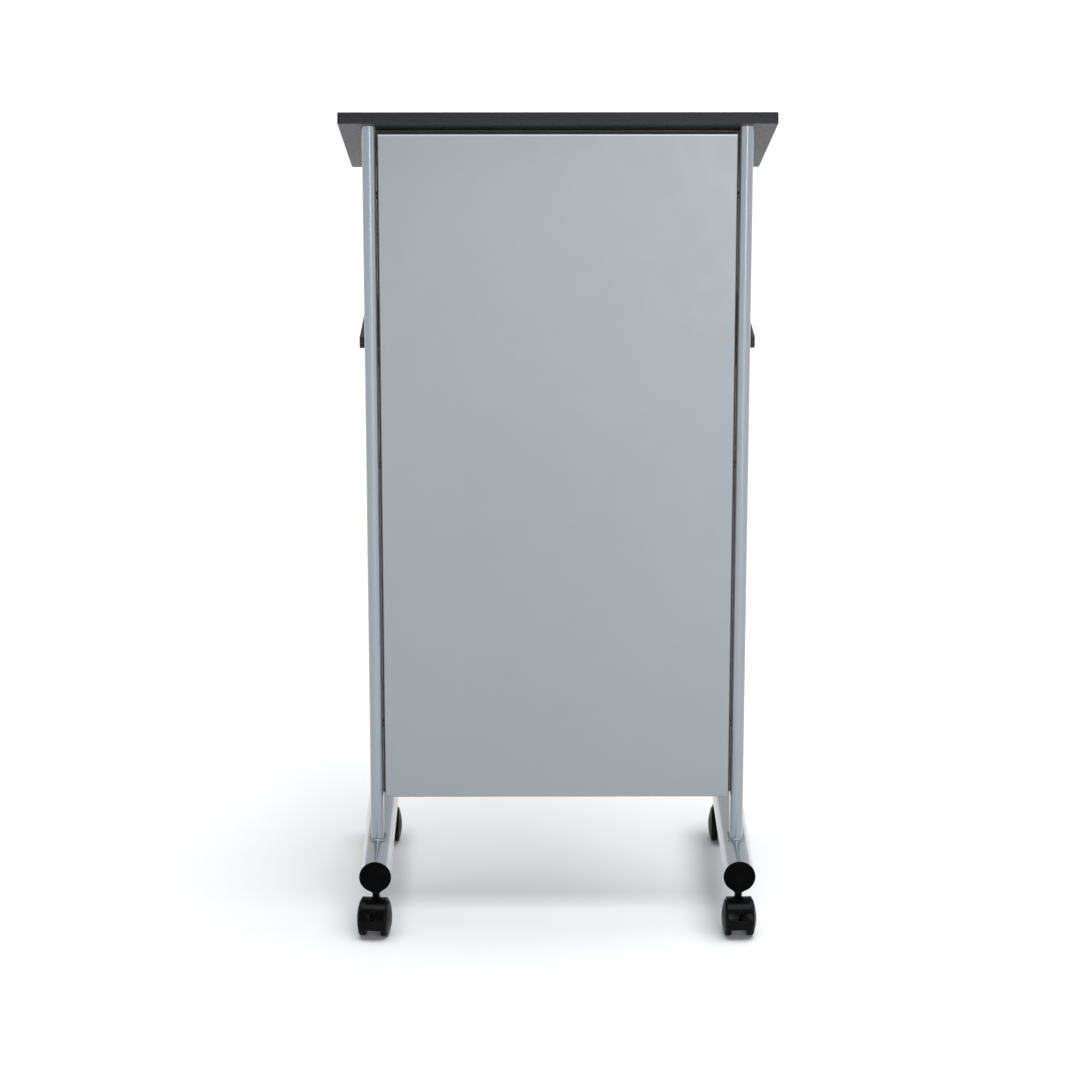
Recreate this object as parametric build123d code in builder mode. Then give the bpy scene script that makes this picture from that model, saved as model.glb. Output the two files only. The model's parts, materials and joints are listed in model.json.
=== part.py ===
from build123d import *
import os
from math import atan2, cos, degrees, hypot, radians, sin

# A lectern on casters: two side frames, each an upright post on a round base tube, carry a tilted
# top board and a shelf behind a full-width sheet-steel front panel. Millimetres, +Z up, the front
# panel faces -Y, the speaker stands at +Y. The origin is on the floor, midway between the frontmost
# caster nose and the rear edge of the top board.

os.makedirs("parts", exist_ok=True)

# Top board
overall_height = 1190.0
board_width = 610.0
board_depth = 425.0
board_thickness = 16.0
board_tilt = 18.0
board_overhang = 20.0  # in front of the posts
corner_radius = 3.0
band_thickness = 2.0
band_edge_radius = 1.0
top_screw_rows = (100.0, 225.0, 350.0)  # down the slope from the board's front edge

# Posts, flat-oval tube with the narrow side to the front
post_spacing = 526.0
post_width = 19.0
post_depth = 38.0
post_wall = 1.5

# Base tubes
tube_radius = 22.25
tube_wall = 2.0
tube_length = 440.0
tube_z = 92.0
tube_front_reach = 110.0  # from the posts' centre to the tube's front end
cap_radius = 23.0
cap_flange = 3.0
cap_plug_length = 12.0
cap_round = 1.5
weld_size = 3.0

# Shelf and its arms, arms of the top board
shelf_width = 562.0
shelf_depth = 300.0
shelf_top_z = 860.0
shelf_thickness = 16.0
shelf_gap = 1.0  # behind the posts
shelf_screw_rows = (60.0, 200.0)  # behind the shelf's front edge
arm_width = 18.0
arm_wall = 1.5
arm_corner = 2.5
top_arm_height = 30.0
top_arm_end = 380.0  # down the slope from the board's front edge
shelf_arm_height = 25.0
shelf_arm_end = 270.0  # behind the posts' centre
arm_cap_flange = 2.5
arm_cap_plug = 10.0
arm_cap_round = 1.0
fit_gap = 0.1

# Cross rail under the board
rail_size = 20.0
rail_start = 54.0  # down the slope from the board's front edge

# Front panel, a folded pan open to the rear, whose side lips close the gaps to the posts
panel_width = 501.0
panel_bottom = 180.0
panel_top = 1156.5
panel_depth = 20.0
panel_setback = 4.0  # behind the posts' front
panel_sheet = 1.2
panel_bend = 1.5
panel_fix_heights = (290.0, 679.0, 1068.0)
panel_fix_setback = 3.0  # in front of the posts' centre

# Book stop on the low edge of the board
stop_length = 560.0
stop_height = 14.0
stop_depth = 12.0
stop_inset = 6.0
stop_corner = 4.0
stop_round = 3.0
stop_screw_columns = (-225.0, -75.0, 75.0, 225.0)
stop_screw_cover = 4.0

# Screws
screw_radius = 2.0
screw_head_radius = 4.2
screw_head_height = 2.6
screw_bite = 12.0
screw_head_taper = 20.0
screw_drive_radius = 0.4  # share of the head's radius
screw_drive_depth = 0.6  # share of the head's height
panel_screw_radius = 2.5
panel_head_radius = 4.8
panel_head_height = 3.0
panel_screw_length = 10.0
spacer_radius = 5.0
hole_clearance = 0.2

# Casters: twin wheels under a round hood, the stem behind the axle
wheel_radius = 26.5
wheel_trail = 17.0
wheel_inner_x = 11.5
wheel_outer_x = 25.0
wheel_hub_wall = 3.5
wheel_edge_round = 0.8
tread_end = 6.6  # inside the outer face, as the next three
shoulder_middle = 4.7
shoulder_end = 3.9
dome_middle = 1.3
shoulder_drop = 2.8
hub_flat_radius = 5.0
hub_radius = 9.2
recess_radius = 12.9
recess_depth = 4.0
axle_radius = 3.0
axle_half_length = 21.0
axle_chamfer = 0.5
pin_gap = 0.02
hood_radius = 30.0
hood_wall = 2.6
hood_half_width = 18.5
hood_web_half = 10.8
hood_hem_z = 16.5
hood_round = 1.0
stem_radius = 5.5
stem_bottom_z = 30.3
stem_top_z = 96.0
stem_chamfer = 0.8
stem_end_gap = 0.3
stem_boss_radius = 8.5
stem_seat_z = 49.5
socket_radius = 8.0
socket_bottom_z = 60.0
socket_top_z = 100.0
socket_end_gap = 1.0
ring_groove_z = 86.0
ring_height = 3.0
ring_groove_depth = 0.9
ring_end_gap = 0.2
ring_proud = 0.08
ring_depth = 0.85
ring_split = 3.0
running_gap = 0.05
front_stem_reach = 85.0  # in front of the posts' centre
wheelbase = 390.0
left_front_swivel = -6.5
right_front_swivel = 1.5

# Brake lever: it turns on a pin ahead of the axle and its bar drops into notches in the wheels
brake_slot_angle = 24.0  # middle of the lever's travel, above the nose
brake_swing = 24.0
brake_pivot_distance = 8.0
brake_arm_length = 24.0
brake_arm_thickness = 3.6
brake_arm_half_width = 2.2
brake_hub_radius = 3.0
brake_head_depth = 3.0
brake_head_height = 4.6
brake_head_round = 0.8
brake_head_half_width = 6.25
brake_bar_distance = 10.0
brake_bar_angle = 105.0  # from the middle of the lever's travel, with the lever up
brake_bar_radius = 1.2
brake_bar_half_length = 14.5
brake_bar_arm_thickness = 3.0
brake_bar_boss_radius = 2.2
brake_bar_window = 1.2  # wider than the bar
notch_reach = 0.6  # share of the swing at which the bar is in the middle of its notch
brake_pin_radius = 1.5
brake_pocket_radius = 15.6
brake_slot_margin = 7.5  # degrees past the lever's travel, at each end
brake_slot_reach = 34.0
brake_slot_gap = 0.4
notch_count = 8
notch_depth = 2.8
notch_width = 6.0
notch_overlap = 1.0
notch_floor = 0.5

# Derived places
axle_z = wheel_radius
half_spacing = post_spacing / 2
cos_tilt = cos(radians(board_tilt))
sin_tilt = sin(radians(board_tilt))
nose_turn = radians(abs(left_front_swivel))
nose_reach = (wheel_trail + hood_radius) * cos(nose_turn) + hood_half_width * sin(nose_turn)
front_reach = front_stem_reach + nose_reach
board_front_reach = post_depth / 2 + board_overhang
rear_reach = board_depth * cos_tilt + board_thickness * sin_tilt - board_front_reach
post_y = (front_reach - rear_reach) / 2
board_front_y = post_y - board_front_reach
board_front_z = overall_height - board_thickness * cos_tilt
tube_front_y = post_y - tube_front_reach
tube_rear_y = tube_front_y + tube_length
front_stem_y = post_y - front_stem_reach
rear_stem_y = front_stem_y + wheelbase
shelf_front_y = post_y + post_depth / 2 + shelf_gap
shelf_bottom_z = shelf_top_z - shelf_thickness
panel_front_y = post_y - post_depth / 2 + panel_setback
panel_fix_y = post_y - panel_fix_setback
rail_end = half_spacing - post_width / 2
sides = (("left", -half_spacing), ("right", half_spacing))

# Underside of the top board: local X across, local Y down the slope, normal up through the board
slope = Plane((0, board_front_y, board_front_z), x_dir=(1, 0, 0), z_dir=(0, sin_tilt, cos_tilt))


def save(piece, name):
    piece.label = name
    export_step(piece, f"parts/{name}.step")


def board(plane, width, depth, thickness, hole_spots, hole_depth):
    """Board core under its edge band, with screw holes in its underside, front edge on local Y 0."""
    with BuildPart() as core:
        with BuildSketch(plane):
            with Locations((0, depth / 2)):
                RectangleRounded(
                    width - 2 * band_thickness,
                    depth - 2 * band_thickness,
                    corner_radius - band_thickness,
                )
        extrude(amount=thickness)
        with BuildSketch(plane):
            with Locations(*hole_spots):
                Circle(screw_radius)
        extrude(amount=hole_depth, mode=Mode.SUBTRACT)
    return core


def edge_band(plane, width, depth, thickness):
    """Plastic band glued round a board, with rounded outer edges."""
    with BuildPart() as band:
        with BuildSketch(plane):
            with Locations((0, depth / 2)):
                RectangleRounded(width, depth, corner_radius)
        extrude(amount=thickness)
        top_and_bottom = band.faces().sort_by(Axis(plane.origin, plane.z_dir))
        fillet(top_and_bottom[0].edges() + top_and_bottom[-1].edges(), band_edge_radius)
        with BuildSketch(plane):
            with Locations((0, depth / 2)):
                RectangleRounded(
                    width - 2 * band_thickness,
                    depth - 2 * band_thickness,
                    corner_radius - band_thickness,
                )
        extrude(amount=thickness, mode=Mode.SUBTRACT)
    return band


def screws(seat, spots, head_radius, head_height, shank_radius, shank_length):
    """Pan-head screws: heads below the seat plane, shanks along its normal."""
    with BuildPart() as group:
        with BuildSketch(seat):
            with Locations(*spots):
                Circle(head_radius)
        extrude(amount=-head_height, taper=screw_head_taper)
        with BuildSketch(seat.offset(-head_height)):
            with Locations(*spots):
                RegularPolygon(head_radius * screw_drive_radius, 6)
        extrude(amount=head_height * screw_drive_depth, mode=Mode.SUBTRACT)
        with BuildSketch(seat):
            with Locations(*spots):
                Circle(shank_radius)
        extrude(amount=shank_length)
    return group


def arm(start, height, length, x):
    """Rectangular tube hung under the plane start, coped round the post it is welded to."""
    with BuildPart() as tube:
        with BuildSketch(start):
            with Locations((x, height / 2)):
                RectangleRounded(arm_width, height, arm_corner)
                RectangleRounded(
                    arm_width - 2 * arm_wall,
                    height - 2 * arm_wall,
                    arm_corner - arm_wall,
                    mode=Mode.SUBTRACT,
                )
        extrude(amount=length)
        with BuildSketch(Plane.XY.offset(tube_z)):
            with Locations((x, post_y)):
                SlotOverall(post_depth, post_width, rotation=90)
        extrude(amount=overall_height, mode=Mode.SUBTRACT)
    return tube


def arm_cap(end, height, x):
    """Plastic plug in the rear end of an arm."""
    plug_width = arm_width - 2 * arm_wall - 2 * fit_gap
    plug_height = height - 2 * arm_wall - 2 * fit_gap
    with BuildPart() as cap:
        with BuildSketch(end):
            with Locations((x, height / 2)):
                RectangleRounded(arm_width, height, arm_corner)
        extrude(amount=arm_cap_flange)
        outer = cap.faces().sort_by(Axis(end.origin, end.z_dir))[-1]
        fillet(outer.edges(), arm_cap_round)
        with BuildSketch(end):
            with Locations((x, height / 2)):
                RectangleRounded(plug_width, plug_height, arm_cap_round)
        extrude(amount=-arm_cap_plug)
    return cap


# Top board, its band and the book stop on its low edge
stop_middle = board_depth - stop_inset - stop_depth / 2
top_screw_spots = [(x, down) for _, x in sides for down in top_screw_rows]
stop_screw_spots = [(x, stop_middle) for x in stop_screw_columns]

top_core = board(
    slope, board_width, board_depth, board_thickness, top_screw_spots, screw_bite
)
with BuildPart() as top_board:
    add(top_core.part)
    with BuildSketch(slope):
        with Locations(*stop_screw_spots):
            Circle(screw_radius)
    extrude(amount=board_thickness, mode=Mode.SUBTRACT)
save(top_board.part, "top_board")

top_edge_band = edge_band(slope, board_width, board_depth, board_thickness)
save(top_edge_band.part, "top_edge_band")

with BuildPart() as book_stop:
    with BuildSketch(slope.offset(board_thickness)):
        with Locations((0, stop_middle)):
            RectangleRounded(stop_length, stop_depth, stop_corner)
    extrude(amount=stop_height)
    stop_top = book_stop.faces().sort_by(Axis(slope.origin, slope.z_dir))[-1]
    fillet(stop_top.edges(), stop_round)
    with BuildSketch(slope.offset(board_thickness)):
        with Locations(*stop_screw_spots):
            Circle(screw_radius)
    extrude(amount=stop_height - stop_screw_cover, mode=Mode.SUBTRACT)
save(book_stop.part, "book_stop")

stop_screws = screws(
    slope,
    stop_screw_spots,
    screw_head_radius,
    screw_head_height,
    screw_radius,
    board_thickness + stop_height - stop_screw_cover,
)
save(stop_screws.part, "stop_screws")

top_screws = screws(
    slope.offset(-top_arm_height),
    top_screw_spots,
    screw_head_radius,
    screw_head_height,
    screw_radius,
    top_arm_height + screw_bite,
)
save(top_screws.part, "top_screws")

# Shelf and its band
shelf_plane = Plane((0, shelf_front_y, shelf_bottom_z))
shelf_screw_spots = [(x, back) for _, x in sides for back in shelf_screw_rows]

shelf_board = board(
    shelf_plane, shelf_width, shelf_depth, shelf_thickness, shelf_screw_spots, screw_bite
)
save(shelf_board.part, "shelf_board")

shelf_edge_band = edge_band(shelf_plane, shelf_width, shelf_depth, shelf_thickness)
save(shelf_edge_band.part, "shelf_edge_band")

shelf_screws = screws(
    shelf_plane.offset(-shelf_arm_height),
    shelf_screw_spots,
    screw_head_radius,
    screw_head_height,
    screw_radius,
    shelf_arm_height + screw_bite,
)
save(shelf_screws.part, "shelf_screws")

# Posts, arms and base tubes of the two side frames
arm_start_slope = (post_y - board_front_y) / cos_tilt
top_arm_start = Plane(
    slope.from_local_coords((0, arm_start_slope, 0)), x_dir=(1, 0, 0), z_dir=(0, cos_tilt, -sin_tilt)
)
shelf_arm_start = Plane((0, post_y, shelf_bottom_z), x_dir=(1, 0, 0), z_dir=(0, 1, 0))

for side, x in sides:
    with BuildPart() as post:
        with BuildSketch(Plane.XY.offset(tube_z)):
            with Locations((x, post_y)):
                SlotOverall(post_depth, post_width, rotation=90)
                SlotOverall(
                    post_depth - 2 * post_wall,
                    post_width - 2 * post_wall,
                    rotation=90,
                    mode=Mode.SUBTRACT,
                )
        extrude(amount=overall_height)
        split(bisect_by=slope, keep=Keep.BOTTOM)
        with BuildSketch(Plane.XZ.offset(-tube_front_y)):
            with Locations((x, tube_z)):
                Circle(tube_radius)
        extrude(amount=-tube_length, mode=Mode.SUBTRACT)
        with BuildSketch(Plane.YZ):
            with Locations(*[(panel_fix_y, z) for z in panel_fix_heights]):
                Circle(panel_screw_radius)
        extrude(amount=x, mode=Mode.SUBTRACT)
    save(post.part, f"{side}_post")

    top_arm = arm(top_arm_start, top_arm_height, top_arm_end - arm_start_slope, x)
    with BuildPart() as drilled_top_arm:
        add(top_arm.part)
        with BuildSketch(slope.offset(-top_arm_height)):
            with Locations(*[spot for spot in top_screw_spots if spot[0] == x]):
                Circle(screw_radius + hole_clearance)
        extrude(amount=top_arm_height, mode=Mode.SUBTRACT)
    save(drilled_top_arm.part, f"{side}_top_arm")

    top_arm_cap = arm_cap(top_arm_start.offset(top_arm_end - arm_start_slope), top_arm_height, x)
    save(top_arm_cap.part, f"{side}_top_arm_cap")

    shelf_arm = arm(shelf_arm_start, shelf_arm_height, shelf_arm_end, x)
    with BuildPart() as drilled_shelf_arm:
        add(shelf_arm.part)
        with BuildSketch(shelf_plane.offset(-shelf_arm_height)):
            with Locations(*[spot for spot in shelf_screw_spots if spot[0] == x]):
                Circle(screw_radius + hole_clearance)
        extrude(amount=shelf_arm_height, mode=Mode.SUBTRACT)
    save(drilled_shelf_arm.part, f"{side}_shelf_arm")

    shelf_arm_cap = arm_cap(shelf_arm_start.offset(shelf_arm_end), shelf_arm_height, x)
    save(shelf_arm_cap.part, f"{side}_shelf_arm_cap")

    with BuildPart() as base_tube:
        with BuildSketch(Plane.XZ.offset(-tube_front_y)):
            with Locations((x, tube_z)):
                Circle(tube_radius)
                Circle(tube_radius - tube_wall, mode=Mode.SUBTRACT)
        extrude(amount=-tube_length)
        with BuildSketch(Plane.XY.offset(socket_bottom_z)):
            with Locations((x, front_stem_y), (x, rear_stem_y)):
                Circle(socket_radius)
        extrude(amount=tube_z - socket_bottom_z, mode=Mode.SUBTRACT)
    save(base_tube.part, f"{side}_base_tube")

    for end, end_y, outward in (("front", tube_front_y, -1), ("rear", tube_rear_y, 1)):
        cap_plane = Plane((x, end_y, tube_z), z_dir=(0, outward, 0))
        with BuildPart() as tube_cap:
            with BuildSketch(cap_plane):
                Circle(cap_radius)
            extrude(amount=cap_flange)
            outer_face = tube_cap.faces().sort_by(Axis(cap_plane.origin, cap_plane.z_dir))[-1]
            fillet(outer_face.edges(), cap_round)
            with BuildSketch(cap_plane):
                Circle(tube_radius - tube_wall - fit_gap)
                Circle(tube_radius - 2 * tube_wall - fit_gap, mode=Mode.SUBTRACT)
            extrude(amount=-cap_plug_length)
        save(tube_cap.part, f"{side}_{end}_tube_cap")

# Weld bead round the foot of each post, where it is coped over its base tube
post_feet = [(x, post_y) for _, x in sides]
with BuildPart() as post_welds:
    with BuildSketch(Plane.XY.offset(tube_z)):
        with Locations(*post_feet):
            SlotOverall(post_depth + 2 * weld_size, post_width + 2 * weld_size, rotation=90)
            SlotOverall(post_depth, post_width, rotation=90, mode=Mode.SUBTRACT)
    extrude(amount=tube_radius + weld_size)
    with BuildSketch(Plane.XZ.offset(-tube_front_y)):
        with Locations(*[(x, tube_z) for _, x in sides]):
            Circle(tube_radius + weld_size)
            Circle(tube_radius, mode=Mode.SUBTRACT)
    extrude(amount=-tube_length, mode=Mode.INTERSECT)
save(post_welds.part, "post_welds")

# Cross rail under the board, between the side frames
rail_plane = Plane((-rail_end, 0, 0), x_dir=(0, cos_tilt, -sin_tilt), z_dir=(1, 0, 0))
rail_centre = slope.from_local_coords((-rail_end, rail_start + rail_size / 2, -rail_size / 2))
with BuildPart() as top_rail:
    with BuildSketch(Plane(rail_centre, x_dir=rail_plane.x_dir, z_dir=rail_plane.z_dir)):
        RectangleRounded(rail_size, rail_size, arm_corner)
        RectangleRounded(
            rail_size - 2 * arm_wall,
            rail_size - 2 * arm_wall,
            arm_corner - arm_wall,
            mode=Mode.SUBTRACT,
        )
    extrude(amount=2 * rail_end)
save(top_rail.part, "top_rail")

# Front panel: front sheet, four returns and a lip turned out to the post down each side
panel_return_x = panel_width / 2 - panel_sheet
panel_lip = rail_end - fit_gap - panel_return_x
panel_height = panel_top - panel_bottom
panel_middle = (panel_top + panel_bottom) / 2
with BuildPart() as front_panel:
    with BuildSketch(Plane.XZ.offset(-panel_front_y)):
        with Locations((0, panel_middle)):
            Rectangle(panel_width, panel_height)
    extrude(amount=-panel_depth)
    fillet(front_panel.faces().sort_by(Axis.Y)[0].edges(), panel_bend)
    offset(amount=-panel_sheet, openings=front_panel.faces().sort_by(Axis.Y)[-1])
    with BuildSketch(Plane.XZ.offset(-panel_front_y - panel_depth)):
        with Locations(*[(s * (panel_return_x + panel_lip / 2), panel_middle) for s in (-1, 1)]):
            Rectangle(panel_lip, panel_height - 2 * panel_sheet)
    extrude(amount=panel_sheet)
    with BuildSketch(Plane.YZ):
        with Locations(*[(panel_fix_y, z) for z in panel_fix_heights]):
            Circle(panel_screw_radius)
    extrude(amount=panel_width, both=True, mode=Mode.SUBTRACT)
save(front_panel.part, "front_panel")

# Spacers and screws between the panel's returns and the posts
panel_fix_spots = [(panel_fix_y, z) for z in panel_fix_heights]
with BuildPart() as panel_spacers:
    with BuildSketch(Plane.YZ.offset(panel_width / 2)):
        with Locations(*panel_fix_spots):
            Circle(spacer_radius)
            Circle(panel_screw_radius, mode=Mode.SUBTRACT)
    extrude(amount=rail_end - panel_width / 2)
    mirror(about=Plane.YZ)
save(panel_spacers.part, "panel_spacers")

right_panel_screws = screws(
    Plane.YZ.offset(panel_width / 2 - panel_sheet),
    panel_fix_spots,
    panel_head_radius,
    panel_head_height,
    panel_screw_radius,
    panel_screw_length,
)
with BuildPart() as panel_screws:
    add(right_panel_screws.part)
    mirror(about=Plane.YZ)
save(panel_screws.part, "panel_screws")

# Sockets that hold the caster stems in the base tubes
stem_spots = [(x, y) for _, x in sides for y in (front_stem_y, rear_stem_y)]
with BuildPart() as caster_sockets:
    with BuildSketch(Plane.XY.offset(socket_bottom_z)):
        with Locations(*stem_spots):
            Circle(socket_radius)
    extrude(amount=socket_top_z - socket_bottom_z)
    with BuildSketch(Plane.XY.offset(socket_bottom_z)):
        with Locations(*stem_spots):
            Circle(stem_radius + fit_gap)
    extrude(amount=stem_top_z + socket_end_gap - socket_bottom_z, mode=Mode.SUBTRACT)
save(caster_sockets.part, "caster_sockets")

# One caster in its own frame: stem axis on Z, wheels trailing towards -Y, floor at Z 0
axle_point = (-wheel_trail, axle_z)


def from_axle(distance, angle):
    """Point in the YZ plane at a distance from the axle, at an angle above the nose."""
    turn = radians(angle)
    return (-wheel_trail - distance * cos(turn), axle_z + distance * sin(turn))


def from_pivot(distance, angle):
    """The same from the brake lever's pin."""
    pin_y, pin_z = from_axle(brake_pivot_distance, brake_slot_angle)
    turn = radians(angle)
    return (pin_y - distance * cos(turn), pin_z + distance * sin(turn))


brake_pivot = from_pivot(0, 0)
lever_up = brake_slot_angle + brake_swing / 2
bar_up = from_pivot(brake_bar_distance, brake_slot_angle + brake_bar_angle)
bar_down = from_pivot(brake_bar_distance, brake_slot_angle + brake_bar_angle - brake_swing)
bar_in_notch = brake_slot_angle + brake_bar_angle - brake_swing * notch_reach
bar_middle = from_pivot(brake_bar_distance, bar_in_notch)
notch_angle = degrees(atan2(bar_middle[1] - axle_z, bar_middle[0] + wheel_trail))


def caster_hood(braked):
    with BuildPart() as hood:
        with BuildSketch(Plane.YZ):
            with Locations(axle_point):
                Circle(hood_radius)
            with Locations((-wheel_trail, hood_hem_z - hood_radius)):
                Rectangle(4 * hood_radius, 2 * hood_radius, mode=Mode.SUBTRACT)
        extrude(amount=hood_half_width, both=True)
        rims = hood.edges().filter_by(GeomType.CIRCLE)
        fillet(rims, hood_round)
        with BuildSketch(Plane.YZ.offset(hood_web_half)):
            with Locations(axle_point):
                Circle(hood_radius - hood_wall)
        extrude(amount=hood_half_width, mode=Mode.SUBTRACT)
        with BuildSketch(Plane.YZ.offset(-hood_web_half)):
            with Locations(axle_point):
                Circle(hood_radius - hood_wall)
        extrude(amount=-hood_half_width, mode=Mode.SUBTRACT)
        with BuildSketch(Plane.XY.offset(hood_hem_z)):
            Circle(stem_boss_radius)
        extrude(amount=stem_seat_z - hood_hem_z)
        with BuildSketch(Plane.XY.offset(stem_seat_z)):
            Circle(stem_boss_radius)
        extrude(amount=hood_radius, mode=Mode.SUBTRACT)
        with BuildSketch(Plane.XY.offset(stem_bottom_z - stem_end_gap)):
            Circle(stem_radius + running_gap)
        extrude(amount=hood_radius, mode=Mode.SUBTRACT)
        with BuildSketch(Plane.YZ):
            with Locations(axle_point):
                Circle(axle_radius + pin_gap)
        extrude(amount=hood_web_half, both=True, mode=Mode.SUBTRACT)
        if braked:
            slot_top = brake_slot_angle + brake_swing / 2 + brake_slot_margin
            slot_bottom = brake_slot_angle - brake_swing / 2 - brake_slot_margin
            with BuildSketch(Plane.YZ):
                with Locations(brake_pivot):
                    Circle(brake_pocket_radius)
                with BuildLine():
                    Polyline(
                        brake_pivot,
                        from_pivot(brake_slot_reach, slot_top),
                        from_pivot(brake_slot_reach, slot_bottom),
                        close=True,
                    )
                make_face()
            extrude(amount=brake_arm_half_width + brake_slot_gap, both=True, mode=Mode.SUBTRACT)
            bar_travel = (bar_down[0] - bar_up[0], bar_down[1] - bar_up[1])
            window = Plane(
                (0, (bar_up[0] + bar_down[0]) / 2, (bar_up[1] + bar_down[1]) / 2),
                x_dir=(0, bar_travel[0], bar_travel[1]),
                z_dir=(1, 0, 0),
            )
            with BuildSketch(window):
                SlotCenterToCenter(hypot(*bar_travel), 2 * brake_bar_radius + brake_bar_window)
            extrude(amount=hood_web_half, both=True, mode=Mode.SUBTRACT)
            with BuildSketch(Plane.YZ):
                with Locations(brake_pivot):
                    Circle(brake_pin_radius + pin_gap)
            extrude(amount=hood_web_half, both=True, mode=Mode.SUBTRACT)
    return hood


braked_hood = caster_hood(True)
plain_hood = caster_hood(False)

notch_centre = recess_radius + (notch_depth - notch_overlap) / 2
with BuildPart() as wheel:
    with BuildSketch(Plane((0, -wheel_trail, axle_z))):
        with BuildLine():
            Polyline(
                (wheel_outer_x, hub_flat_radius),
                (wheel_outer_x, 0),
                (wheel_outer_x - wheel_hub_wall, 0),
                (wheel_outer_x - wheel_hub_wall, axle_radius + running_gap),
                (wheel_inner_x, axle_radius + running_gap),
                (wheel_inner_x, hub_radius),
                (wheel_inner_x + recess_depth, hub_radius),
                (wheel_inner_x + recess_depth, recess_radius),
                (wheel_inner_x, recess_radius),
                (wheel_inner_x, wheel_radius - wheel_edge_round),
                (wheel_inner_x + wheel_edge_round, wheel_radius),
                (wheel_outer_x - tread_end, wheel_radius),
            )
            ThreePointArc(
                (wheel_outer_x - tread_end, wheel_radius),
                (wheel_outer_x - shoulder_middle, wheel_radius - wheel_edge_round),
                (wheel_outer_x - shoulder_end, wheel_radius - shoulder_drop),
            )
            ThreePointArc(
                (wheel_outer_x - shoulder_end, wheel_radius - shoulder_drop),
                (
                    wheel_outer_x - dome_middle,
                    (wheel_radius - shoulder_drop + hub_flat_radius) / 2,
                ),
                (wheel_outer_x, hub_flat_radius),
            )
        make_face()
    revolve(axis=Axis((0, -wheel_trail, axle_z), (1, 0, 0)))
    with BuildSketch(Plane.YZ.offset(wheel_inner_x)):
        with Locations(axle_point):
            with PolarLocations(notch_centre, notch_count, notch_angle):
                Rectangle(notch_depth + notch_overlap, notch_width)
    extrude(amount=recess_depth - notch_floor, mode=Mode.SUBTRACT)
wheel_on_right = wheel.part
wheel_on_left = wheel.part.mirror(Plane.YZ)

with BuildPart() as axle:
    with BuildSketch(Plane.YZ):
        with Locations(axle_point):
            Circle(axle_radius)
    extrude(amount=axle_half_length, both=True)
    chamfer(axle.edges().filter_by(GeomType.CIRCLE), axle_chamfer)

with BuildPart() as stem:
    with BuildSketch(Plane.XY.offset(stem_bottom_z)):
        Circle(stem_radius)
    extrude(amount=stem_top_z - stem_bottom_z)
    chamfer(stem.edges().filter_by(GeomType.CIRCLE), stem_chamfer)
    with BuildSketch(Plane.XY.offset(ring_groove_z)):
        Circle(stem_radius)
        Circle(stem_radius - ring_groove_depth, mode=Mode.SUBTRACT)
    extrude(amount=ring_height, mode=Mode.SUBTRACT)

with BuildPart() as grip_ring:
    with BuildSketch(Plane.XY.offset(ring_groove_z + ring_end_gap)):
        Circle(stem_radius + ring_proud)
        Circle(stem_radius - ring_depth, mode=Mode.SUBTRACT)
        with Locations((stem_radius, 0)):
            Rectangle(stem_radius, ring_split, mode=Mode.SUBTRACT)
    extrude(amount=ring_height - 2 * ring_end_gap)

with BuildPart() as brake_lever:
    arm_middle = from_pivot(brake_arm_length / 2, lever_up)
    bar_arm_middle = from_pivot(brake_bar_distance / 2, brake_slot_angle + brake_bar_angle)
    with BuildSketch(Plane.YZ):
        with Locations(brake_pivot):
            Circle(brake_hub_radius)
        with Locations(arm_middle):
            Rectangle(brake_arm_length, brake_arm_thickness, rotation=-lever_up)
        with Locations(bar_arm_middle):
            Rectangle(
                brake_bar_distance,
                brake_bar_arm_thickness,
                rotation=-(brake_slot_angle + brake_bar_angle),
            )
        with Locations(bar_up):
            Circle(brake_bar_boss_radius)
    extrude(amount=brake_arm_half_width, both=True)
    with BuildSketch(Plane.YZ):
        with Locations(from_pivot(brake_arm_length, lever_up)):
            RectangleRounded(
                brake_head_depth, brake_head_height, brake_head_round, rotation=-lever_up
            )
    extrude(amount=brake_head_half_width, both=True)
    with BuildSketch(Plane.YZ):
        with Locations(bar_up):
            Circle(brake_bar_radius)
    extrude(amount=brake_bar_half_length, both=True)
    with BuildSketch(Plane.YZ):
        with Locations(brake_pivot):
            Circle(brake_pin_radius + running_gap)
    extrude(amount=brake_arm_half_width, both=True, mode=Mode.SUBTRACT)

with BuildPart() as brake_pin:
    with BuildSketch(Plane.YZ):
        with Locations(brake_pivot):
            Circle(brake_pin_radius)
    extrude(amount=hood_web_half, both=True)

# The four casters: name, place of the stem, swivel about it and whether it has a brake
casters = (
    ("front_left", -half_spacing, front_stem_y, left_front_swivel, True),
    ("front_right", half_spacing, front_stem_y, right_front_swivel, True),
    ("rear_left", -half_spacing, rear_stem_y, 0.0, False),
    ("rear_right", half_spacing, rear_stem_y, 0.0, False),
)
for name, x, y, swivel, braked in casters:
    spot = Location((x, y, 0), (0, 0, swivel))
    outer_wheel, inner_wheel = (
        (wheel_on_left, wheel_on_right) if x < 0 else (wheel_on_right, wheel_on_left)
    )
    hood = braked_hood if braked else plain_hood
    save(hood.part.moved(spot), f"{name}_hood")
    save(stem.part.moved(spot), f"{name}_stem")
    save(grip_ring.part.moved(spot), f"{name}_grip_ring")
    save(axle.part.moved(spot), f"{name}_axle")
    save(outer_wheel.moved(spot), f"{name}_outer_wheel")
    save(inner_wheel.moved(spot), f"{name}_inner_wheel")
    if braked:
        save(brake_lever.part.moved(spot), f"{name}_brake_lever")
        save(brake_pin.part.moved(spot), f"{name}_brake_pin")
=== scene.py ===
import json
import math

import bmesh
import bpy
from mathutils import Matrix, Vector

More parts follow.
